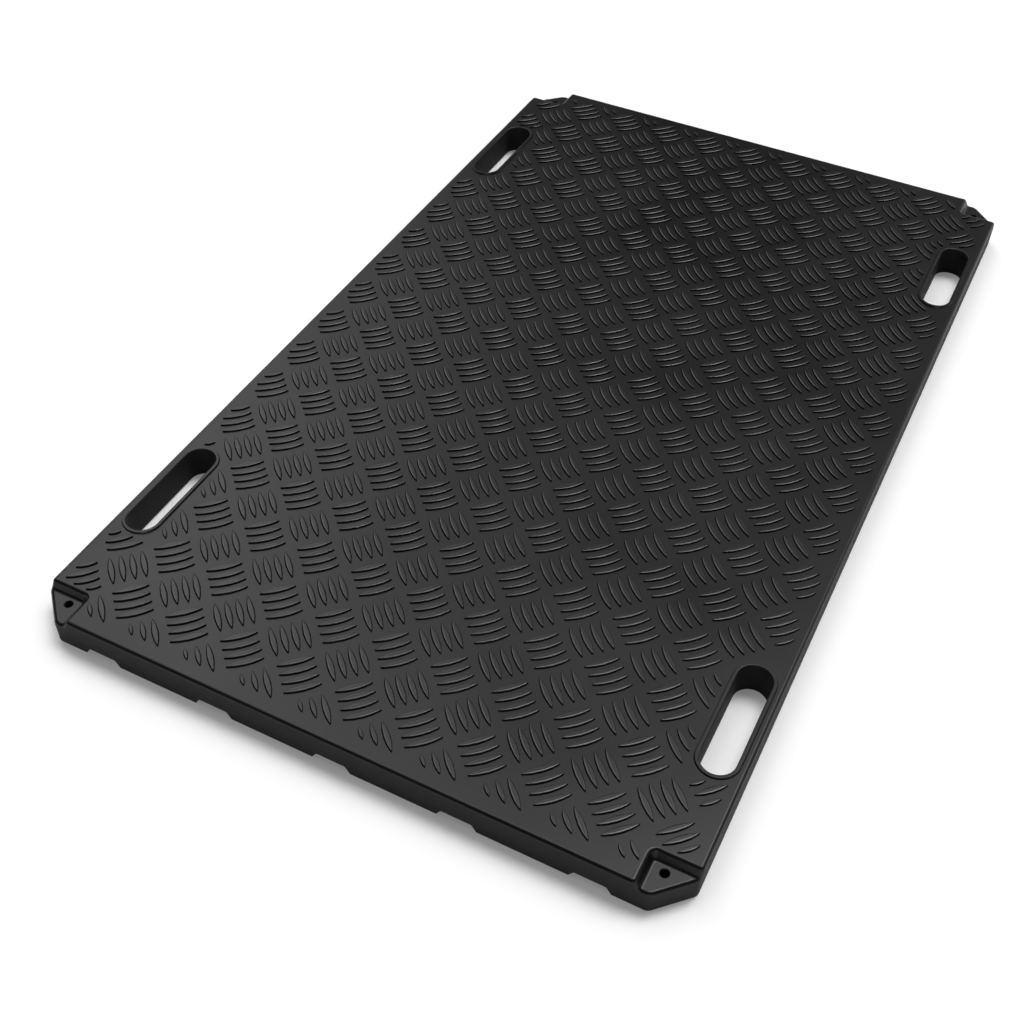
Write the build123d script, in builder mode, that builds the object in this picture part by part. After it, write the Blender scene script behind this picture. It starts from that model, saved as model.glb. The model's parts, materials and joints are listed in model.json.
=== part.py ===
from build123d import *
from math import atan, degrees
import os

os.makedirs("parts", exist_ok=True)

# The mat lies flat: X runs across it, Y along it, and Z = 0 is the ground.
# Slab, in millimetres
mat_length = 1200
mat_width = 720
slab_height = 38  # ground to the deck, below the lips and the tread
corner_clip = 34  # taken off either edge at each corner
clip_round = 10  # in plan, where a clip meets an edge
rim_round = 4  # over the top edge, all the way round
foot_break = 1.5  # chamfer on every edge that meets the ground

# Hand holes, one near each end of either long edge
grip_length = 136
grip_width = 36
grip_edge_web = 12  # slab left between a hole and the long edge
grip_end_gap = 134  # from a hole to the short edge
lip_width = 5  # at the deck
lip_height = 2
lip_run = 1  # how far the outer side slopes in on its way up
lip_round = 1.6  # over the edge of the hole

# Lowered corners that take the connector plates
step_width = 50  # along the short edge
step_length = 40  # along the long edge
step_depth = 9
step_run = 5  # how far the walls slope in on their way down
step_corner = 8  # plan radius of the inner corner, at the deck
step_blend = 4  # over the top of the walls and along their foot
pin_radius = 4
pin_from_long_edge = 31
pin_from_short_edge = 26
pin_break = 1

# Drain channels along the underside, open at both short edges
channel_count = 5
channel_mouth = 44  # width at the ground
channel_roof = 32
channel_height = 10
channel_from_edge = 90  # long edge to the middle of the first channel
channel_round = 3  # along the corners of the roof

slant = 0.01  # a face whose normal is further than this from level and upright is a slope

step_floor = slab_height - step_depth
step_slope = degrees(atan(step_run / step_depth))
lip_slope = degrees(atan(lip_run / lip_height))
grip_pitch_x = mat_width - 2 * grip_edge_web - grip_width
grip_pitch_y = mat_length - 2 * grip_end_gap - grip_length
pin_pitch_x = mat_width - 2 * pin_from_long_edge
pin_pitch_y = mat_length - 2 * pin_from_short_edge
channel_pitch = (mat_width - 2 * channel_from_edge) / max(channel_count - 1, 1)
channel_side = degrees(atan(2 * channel_height / (channel_mouth - channel_roof)))


with BuildPart() as mat:
    # Slab with clipped corners
    with BuildSketch() as outline:
        Rectangle(mat_width, mat_length)
        chamfer(outline.vertices(), corner_clip)
        fillet(outline.vertices(), clip_round)
    extrude(amount=slab_height)

    # Corner steps, whose walls slope up to the deck and blend into it and the floor
    with BuildSketch(Plane.XY.offset(slab_height)):
        with GridLocations(mat_width, mat_length, 2, 2):
            RectangleRounded(2 * step_width, 2 * step_length, step_corner)
    extrude(amount=-step_depth, taper=step_slope, mode=Mode.SUBTRACT)
    slopes = mat.faces().filter_by(lambda face: slant < face.normal_at().Z < 1 - slant)
    step_edges = slopes.edges().group_by(Axis.Z)
    fillet(step_edges[-1] + step_edges[0], step_blend)

    # Rounded rim, along the deck, down the slopes and round the step floors
    walls = mat.faces().filter_by(lambda face: abs(face.normal_at().Z) < slant)
    rim = walls.edges().filter_by(Axis.Z, reverse=True)
    fillet(rim.filter_by(lambda edge: edge.center().Z > slab_height / 2), rim_round)

    # Pin hole in each step
    with Locations((0, 0, step_floor)):
        with GridLocations(pin_pitch_x, pin_pitch_y, 2, 2):
            CounterSinkHole(pin_radius, pin_radius + pin_break, counter_sink_angle=90)

    # Raised lips, and the hand holes down through them
    with BuildSketch(Plane.XY.offset(slab_height)):
        with GridLocations(grip_pitch_x, grip_pitch_y, 2, 2):
            SlotOverall(grip_length + 2 * lip_width, grip_width + 2 * lip_width, rotation=90)
    extrude(amount=lip_height, taper=lip_slope)
    with BuildSketch():
        with GridLocations(grip_pitch_x, grip_pitch_y, 2, 2):
            SlotOverall(grip_length, grip_width, rotation=90)
    extrude(amount=slab_height + lip_height, mode=Mode.SUBTRACT)
    lip_tops = mat.faces().group_by(Axis.Z)[-1]
    fillet([wire.edges() for face in lip_tops for wire in face.inner_wires()], lip_round)

    # Drain channels, then every edge that meets the ground is broken
    with BuildSketch(Plane.XZ) as channels:
        with GridLocations(channel_pitch, 0, channel_count, 1):
            Trapezoid(channel_mouth, channel_height, channel_side, align=(Align.CENTER, Align.MIN))
        fillet(channels.vertices().group_by(Axis.Y)[-1], channel_round)
    extrude(amount=mat_length / 2, both=True, mode=Mode.SUBTRACT)
    chamfer(mat.edges().group_by(Axis.Z)[0], foot_break)

mat.part.label = "mat"
export_step(mat.part, "parts/mat.step")
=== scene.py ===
import json
import math

import bmesh
import bpy
from mathutils import Euler, Matrix, Vector


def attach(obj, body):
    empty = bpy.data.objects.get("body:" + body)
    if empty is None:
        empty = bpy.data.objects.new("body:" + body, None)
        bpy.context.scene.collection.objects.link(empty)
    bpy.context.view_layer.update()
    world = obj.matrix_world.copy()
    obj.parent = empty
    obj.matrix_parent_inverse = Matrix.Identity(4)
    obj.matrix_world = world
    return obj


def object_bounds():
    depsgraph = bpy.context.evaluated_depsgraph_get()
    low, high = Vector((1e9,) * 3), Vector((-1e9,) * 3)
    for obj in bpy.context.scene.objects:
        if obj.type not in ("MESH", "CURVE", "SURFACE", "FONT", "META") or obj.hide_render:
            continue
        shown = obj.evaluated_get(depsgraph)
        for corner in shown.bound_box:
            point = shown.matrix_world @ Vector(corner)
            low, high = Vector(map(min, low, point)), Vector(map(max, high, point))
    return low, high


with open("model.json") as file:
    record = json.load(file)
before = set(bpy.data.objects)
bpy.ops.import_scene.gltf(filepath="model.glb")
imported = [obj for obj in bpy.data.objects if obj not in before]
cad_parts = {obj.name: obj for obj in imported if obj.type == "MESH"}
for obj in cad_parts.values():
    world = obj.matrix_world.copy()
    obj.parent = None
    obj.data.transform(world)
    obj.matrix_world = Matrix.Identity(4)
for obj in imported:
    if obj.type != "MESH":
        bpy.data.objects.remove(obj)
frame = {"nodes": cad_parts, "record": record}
cadLow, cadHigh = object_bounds()  # the solid's own box, before anything is added
mounts = {m["name"]: m for m in frame["record"]["mounts"]}
deckZ = mounts["deck"]["pos_m"][2]
print("frame loaded, deck at", deckZ)


# Black moulded plastic, on Object coordinates so that it runs on from piece to piece
plastic = {
    "darkColour": (0.0030, 0.0030, 0.0031, 1),
    "paleColour": (0.0045, 0.0045, 0.0046, 1),
    # painted light: the paler colour that upright sides take in place of light falling on them
    "sidePaintedLightColour": (0.0100, 0.0100, 0.0102, 1),
    "cloudScale": 7.0,  # soft patches, per metre
    "cloudDetail": 5,
    "tintSpan": (0.35, 0.65),  # cloud values over which the colour goes from dark to pale
    "glossSpan": (0.3, 0.7),  # and over which the roughness goes from polished to dull
    "polished": 0.26,
    "dull": 0.34,
    "sideRoughness": 0.75,
    "sideSpan": (0.05, 0.35),  # upward part of the normal, from an upright side to the deck
    "grainScale": 1400.0,
    "grainDetail": 2,
    "grainDepth": 0.00012,
    "grainStrength": 0.10,
    "specular": 0.25,
}
# Painted light on the tread: a low specular level paints the bars' flanks into dark shade lines, a high
# one paints highlight lines along their top edges, and a slightly raised one brightens their tops
treadPaintedLightSpecular = {"flank": 0.04, "edge": 0.52, "top": 0.30}


def makePlastic(name, spec):
    material = bpy.data.materials.new(name)
    material.use_nodes = True
    nodes, links = material.node_tree.nodes, material.node_tree.links
    shader = nodes["Principled BSDF"]
    shader.inputs["Specular IOR Level"].default_value = spec["specular"]
    place = nodes.new("ShaderNodeTexCoord")

    clouds = nodes.new("ShaderNodeTexNoise")
    clouds.inputs["Scale"].default_value = spec["cloudScale"]
    clouds.inputs["Detail"].default_value = spec["cloudDetail"]
    links.new(place.outputs["Object"], clouds.inputs["Vector"])
    tint = nodes.new("ShaderNodeValToRGB")
    dark, pale = tint.color_ramp.elements
    dark.position, pale.position = spec["tintSpan"]
    dark.color, pale.color = spec["darkColour"], spec["paleColour"]
    links.new(clouds.outputs["Fac"], tint.inputs["Fac"])

    gloss = nodes.new("ShaderNodeMapRange")
    gloss.inputs["From Min"].default_value, gloss.inputs["From Max"].default_value = spec["glossSpan"]
    gloss.inputs["To Min"].default_value = spec["polished"]
    gloss.inputs["To Max"].default_value = spec["dull"]
    links.new(clouds.outputs["Fac"], gloss.inputs["Value"])

    # Upright sides are duller than the deck; their paler colour is painted light, standing in for light
    # falling on the sides
    facing = nodes.new("ShaderNodeSeparateXYZ")
    links.new(place.outputs["Normal"], facing.inputs["Vector"])
    level = nodes.new("ShaderNodeMapRange")
    level.inputs["From Min"].default_value, level.inputs["From Max"].default_value = spec["sideSpan"]
    links.new(facing.outputs["Z"], level.inputs["Value"])
    finish = nodes.new("ShaderNodeMix")
    finish.inputs["A"].default_value = spec["sideRoughness"]
    links.new(level.outputs["Result"], finish.inputs["Factor"])
    links.new(gloss.outputs["Result"], finish.inputs["B"])
    links.new(finish.outputs["Result"], shader.inputs["Roughness"])
    colour = nodes.new("ShaderNodeMix")  # its colour sockets share names, so they go by number
    colour.data_type = "RGBA"
    links.new(level.outputs["Result"], colour.inputs[0])
    colour.inputs[6].default_value = spec["sidePaintedLightColour"]
    links.new(tint.outputs["Color"], colour.inputs[7])
    links.new(colour.outputs[2], shader.inputs["Base Color"])

    grain = nodes.new("ShaderNodeTexNoise")
    grain.inputs["Scale"].default_value = spec["grainScale"]
    grain.inputs["Detail"].default_value = spec["grainDetail"]
    links.new(place.outputs["Object"], grain.inputs["Vector"])
    bump = nodes.new("ShaderNodeBump")
    bump.inputs["Strength"].default_value = spec["grainStrength"]
    bump.inputs["Distance"].default_value = spec["grainDepth"]
    links.new(grain.outputs["Fac"], bump.inputs["Height"])
    links.new(bump.outputs["Normal"], shader.inputs["Normal"])
    return material


blackPlastic = makePlastic("blackPlastic", plastic)
# the bars' sides get no painted light, only the plain dark colour
barPlastic = {**plastic, "sidePaintedLightColour": plastic["darkColour"]}
treadPlastics = [
    makePlastic("treadPlastic" + part.capitalize(), {**barPlastic, "specular": specular})
    for part, specular in treadPaintedLightSpecular.items()
]
matBody = frame["nodes"]["mat"]
matBody.data.materials.clear()
matBody.data.materials.append(blackPlastic)
print("plastic on the body")


# Raised bars on the deck, four to a cell, leaning one way and then the other
tread = {
    "pitchX": 0.0668,  # from a cell to the next that leans the same way
    "pitchY": 0.0689,
    "firstX": 0.026,  # from the left edge to a cell that rises to the right
    "firstY": 0.0536,  # from the near edge to the same cell
    "barsPerCell": 4,
    "barGap": 0.0112,  # middle to middle
    "barLength": 0.0385,
    "barWidth": 0.0078,
    "barSides": 12,
    "tipDraw": 0.6,  # 0 is an ellipse, more draws the tips out
    "sunk": 0.0003,  # how far a bar reaches down into the deck
    # In from the foot's outline, height, and specular part of the faces that lead up to it: painted
    # shade on the flanks, painted highlight on the edges
    "rings": [
        (0.0004, 0.00130, "flank"),
        (0.0010, 0.00196, "flank"),
        (0.0016, 0.00215, "edge"),
        (0.0023, 0.00222, "edge"),
    ],
    "tipPull": 1.1,  # how much faster the rings draw in at the tips
    "crispAngle": 24,  # degrees, over which an edge up a bar's side is shaded sharp
    "sideMargin": 0.0115,  # plain strip along the long edges
    "endMargin": 0.018,  # and along the short ones
    "shortest": 0.011,  # a bar cut shorter than this is left out
    "probes": 34,  # steps along a bar in which its room is felt out
}
handHole = {"x": 0.330, "y": 0.398, "length": 0.136, "width": 0.036, "lip": 0.005, "margin": 0.004}
cornerStep = {"width": 0.050, "length": 0.040, "margin": 0.004}
sameHeight = 0.00001  # points closer in height than this are level


def treadAllowed(x, y):
    x, y = abs(x), abs(y)
    if x > cadHigh.x - tread["sideMargin"] or y > cadHigh.y - tread["endMargin"]:
        return False
    stepX = cadHigh.x - cornerStep["width"] - cornerStep["margin"]
    stepY = cadHigh.y - cornerStep["length"] - cornerStep["margin"]
    if x > stepX and y > stepY:
        return False
    straight = (handHole["length"] - handHole["width"]) / 2
    alongHole = max(abs(y - handHole["y"]) - straight, 0)
    fromHole = math.hypot(x - handHole["x"], alongHole)
    return fromHole > handHole["width"] / 2 + handHole["lip"] + handHole["margin"]


def makeBar():
    bar = bmesh.new()
    bmesh.ops.create_circle(bar, cap_ends=True, segments=tread["barSides"], radius=1)
    length, width, height = tread["barLength"] / 2, tread["barWidth"] / 2, 0
    for v in bar.verts:  # a lens: straight out to a point at either end
        v.co = Vector((v.co.x * length, v.co.y * abs(v.co.y) ** tread["tipDraw"] * width, 0))
    top = bar.faces[:]
    for inward, ringHeight, _ in tread["rings"]:
        ringLength = tread["barLength"] / 2 - inward * tread["tipPull"]
        ringWidth = tread["barWidth"] / 2 - inward
        grown = bmesh.ops.extrude_face_region(bar, geom=top, use_keep_orig=True)["geom"]
        if height > 0:  # only the first face stays, as the foot
            bmesh.ops.delete(bar, geom=top, context="FACES_ONLY")
        top = [g for g in grown if isinstance(g, bmesh.types.BMFace)]
        ringVerts = [g for g in grown if isinstance(g, bmesh.types.BMVert)]
        bmesh.ops.scale(bar, vec=(ringLength / length, ringWidth / width, 1), verts=ringVerts)
        bmesh.ops.translate(bar, vec=(0, 0, ringHeight - height), verts=ringVerts)
        length, width, height = ringLength, ringWidth, ringHeight
    bmesh.ops.recalc_face_normals(bar, faces=bar.faces[:])
    # each face takes its ring's specular part: painted shade on the flanks, painted highlight on the
    # edges
    paintedLightParts = list(treadPaintedLightSpecular)
    for face in bar.faces:
        face.smooth = True
        face.material_index = paintedLightParts.index("top")
        for _, ringHeight, finish in reversed(tread["rings"]):
            if face.calc_center_median().z < ringHeight - sameHeight:
                face.material_index = paintedLightParts.index(finish)
    for edge in bar.edges:  # crisp along the rings and at the tips
        rise = abs(edge.verts[0].co.z - edge.verts[1].co.z)
        edge.smooth = rise > sameHeight and edge.calc_face_angle() < math.radians(tread["crispAngle"])
    return bar


def addBar(pile, template, centre, angle):
    along = Vector((math.cos(angle), math.sin(angle), 0))
    kept = []
    for i in range(tread["probes"] + 1):
        s = -tread["barLength"] / 2 + tread["barLength"] * i / tread["probes"]
        spot = centre + along * s
        if treadAllowed(spot.x, spot.y):
            kept.append(s)
    if not kept or kept[-1] - kept[0] < tread["shortest"]:
        return 0
    # Where an edge or a hole is in the way, a shorter and slimmer bar fills what room is left
    share = (kept[-1] - kept[0]) / tread["barLength"]
    middle = centre + along * (kept[0] + kept[-1]) / 2
    bar = template.copy()
    bmesh.ops.scale(bar, vec=(share, math.sqrt(share), 1), verts=bar.verts[:])
    turn = Matrix.Translation(middle) @ Matrix.Rotation(angle, 4, "Z")
    bmesh.ops.transform(bar, matrix=turn, verts=bar.verts[:])
    scratch = bpy.data.meshes.new("oneBar")
    bar.to_mesh(scratch)
    bar.free()
    pile.from_mesh(scratch)
    bpy.data.meshes.remove(scratch)
    return 1


def makeTread(name, angle, shift):
    pile = bmesh.new()
    template = makeBar()
    across = Vector((-math.sin(angle), math.cos(angle), 0))
    columns = math.ceil((cadHigh.x - cadLow.x) / tread["pitchX"])
    rows = math.ceil((cadHigh.y - cadLow.y) / tread["pitchY"])
    count = 0
    for column in range(-1, columns + 1):
        for row in range(-1, rows + 1):
            x = cadLow.x + tread["firstX"] + (column + shift) * tread["pitchX"]
            y = cadLow.y + tread["firstY"] + (row + shift) * tread["pitchY"]
            for i in range(tread["barsPerCell"]):
                offset = (i - (tread["barsPerCell"] - 1) / 2) * tread["barGap"]
                centre = Vector((x, y, deckZ - tread["sunk"])) + across * offset
                count += addBar(pile, template, centre, angle)
    template.free()
    mesh = bpy.data.meshes.new(name)
    pile.to_mesh(mesh)
    pile.free()
    for material in treadPlastics:
        mesh.materials.append(material)
    piece = bpy.data.objects.new(name, mesh)
    bpy.context.scene.collection.objects.link(piece)
    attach(piece, "root")
    print(name, count, "bars", len(mesh.polygons), "faces")


makeTread("tread_rising", math.radians(45), 0)
makeTread("tread_falling", math.radians(-45), 0.5)


# Floor, a little paler where it is looked at, straight or in a reflection
floorSpec = {"size": 40.0, "colour": (0.85, 0.85, 0.85, 1), "lift": 0.16}


def makeFloor(spec):
    shape = bmesh.new()
    bmesh.ops.create_grid(shape, x_segments=1, y_segments=1, size=spec["size"] / 2)
    mesh = bpy.data.meshes.new("studioFloor")
    shape.to_mesh(mesh)
    shape.free()
    floor = bpy.data.objects.new("studioFloor", mesh)
    bpy.context.scene.collection.objects.link(floor)
    material = bpy.data.materials.new("paleFloor")
    material.use_nodes = True
    nodes, links = material.node_tree.nodes, material.node_tree.links
    nodes.remove(nodes["Principled BSDF"])
    paint = nodes.new("ShaderNodeBsdfDiffuse")
    paint.inputs["Color"].default_value = spec["colour"]
    rays = nodes.new("ShaderNodeLightPath")
    seen = rays.outputs["Is Camera Ray"]
    for ray in ("Is Glossy Ray", "Is Transmission Ray"):
        either = nodes.new("ShaderNodeMath")
        either.operation = "MAXIMUM"
        links.new(seen, either.inputs[0])
        links.new(rays.outputs[ray], either.inputs[1])
        seen = either.outputs["Value"]
    strength = nodes.new("ShaderNodeMath")
    strength.operation = "MULTIPLY"
    strength.inputs[1].default_value = spec["lift"]
    links.new(seen, strength.inputs[0])
    glow = nodes.new("ShaderNodeEmission")
    links.new(strength.outputs["Value"], glow.inputs["Strength"])
    both = nodes.new("ShaderNodeAddShader")
    links.new(paint.outputs["BSDF"], both.inputs[0])
    links.new(glow.outputs["Emission"], both.inputs[1])
    links.new(both.outputs["Shader"], nodes["Material Output"].inputs["Surface"])
    mesh.materials.append(material)


makeFloor(floorSpec)
print("floor laid")


# Soft lights in the sky: where each one stands, in degrees, how far it reaches and how bright it is.
# Azimuth 0 is along +X and 90 is along +Y.
skyLights = {
    "high": {"azimuth": 75, "height": 70, "core": 4, "edge": 14, "strength": 12.6},
    "highInner": {"azimuth": 65, "height": 55, "core": 4, "edge": 14, "strength": 5.8},
    "highLeft": {"azimuth": 140, "height": 66, "core": 5, "edge": 16, "strength": 3.7},
    "middleLeft": {"azimuth": 145, "height": 47, "core": 4, "edge": 15, "strength": 2.9},
    "innerLeft": {"azimuth": 125, "height": 45, "core": 4, "edge": 15, "strength": 1.15},
    "lowLeft": {"azimuth": 135, "height": 32, "core": 4, "edge": 15, "strength": 1.75},
    "sideLeft": {"azimuth": 200, "height": 66, "core": 5, "edge": 16, "strength": 1.4},
    "front": {"azimuth": 300, "height": 14, "core": 8, "edge": 22, "strength": 1.6},
    "highBack": {"azimuth": 90, "height": 66, "core": 5, "edge": 16, "strength": 0.9},
    "back": {"azimuth": 80, "height": 40, "core": 8, "edge": 24, "strength": 0.5},
    "backRight": {"azimuth": 40, "height": 40, "core": 8, "edge": 24, "strength": 0.74},
    "lowRight": {"azimuth": 60, "height": 14, "core": 8, "edge": 22, "strength": 0.73},
}
skyRim = {"strength": 0.7, "full": 6, "gone": 16}  # pale band along the horizon, heights in degrees


def makeSky(lights, rimSpec):
    world = bpy.data.worlds.new("studio")
    world.use_nodes = True
    nodes, links = world.node_tree.nodes, world.node_tree.links
    background = nodes["Background"]
    background.inputs["Color"].default_value = (1, 1, 1, 1)
    place = nodes.new("ShaderNodeTexCoord")
    split = nodes.new("ShaderNodeSeparateXYZ")
    links.new(place.outputs["Generated"], split.inputs["Vector"])
    rim = nodes.new("ShaderNodeMapRange")
    rim.interpolation_type = "SMOOTHSTEP"
    rim.inputs["From Min"].default_value = math.sin(math.radians(rimSpec["full"]))
    rim.inputs["From Max"].default_value = math.sin(math.radians(rimSpec["gone"]))
    rim.inputs["To Min"].default_value = rimSpec["strength"]
    rim.inputs["To Max"].default_value = 0
    links.new(split.outputs["Z"], rim.inputs["Value"])
    total = rim.outputs["Result"]
    for spec in lights.values():
        azimuth, height = math.radians(spec["azimuth"]), math.radians(spec["height"])
        towards = nodes.new("ShaderNodeVectorMath")
        towards.operation = "DOT_PRODUCT"
        links.new(place.outputs["Generated"], towards.inputs[0])
        towards.inputs[1].default_value = (
            math.cos(azimuth) * math.cos(height), math.sin(azimuth) * math.cos(height), math.sin(height))
        patch = nodes.new("ShaderNodeMapRange")
        patch.interpolation_type = "SMOOTHSTEP"
        patch.inputs["From Min"].default_value = math.cos(math.radians(spec["edge"]))
        patch.inputs["From Max"].default_value = math.cos(math.radians(spec["core"]))
        patch.inputs["To Max"].default_value = spec["strength"]
        links.new(towards.outputs["Value"], patch.inputs["Value"])
        added = nodes.new("ShaderNodeMath")
        links.new(total, added.inputs[0])
        links.new(patch.outputs["Result"], added.inputs[1])
        total = added.outputs["Value"]
    links.new(total, background.inputs["Strength"])
    bpy.context.scene.world = world


makeSky(skyLights, skyRim)
print("lights set")


# The photograph's view
cameraSpec = {
    "place": (0.46402, -1.1728, 1.10454),
    "turn": (44.9659, -1.1662, 26.6763),  # degrees
    "sensor": 36,  # millimetres, as the lens
    "lens": 47.612,
    "shiftX": -0.00808,
    "shiftY": -0.02767,
}


def makeCamera(spec):
    lens = bpy.data.cameras.new("view")
    lens.sensor_width = spec["sensor"]
    lens.lens = spec["lens"]
    lens.shift_x = spec["shiftX"]
    lens.shift_y = spec["shiftY"]
    camera = bpy.data.objects.new("view", lens)
    camera.location = spec["place"]
    camera.rotation_euler = Euler([math.radians(a) for a in spec["turn"]], "XYZ")
    bpy.context.scene.collection.objects.link(camera)
    bpy.context.scene.camera = camera


makeCamera(cameraSpec)
bpy.context.scene.view_settings.view_transform = "Standard"
print("camera placed")
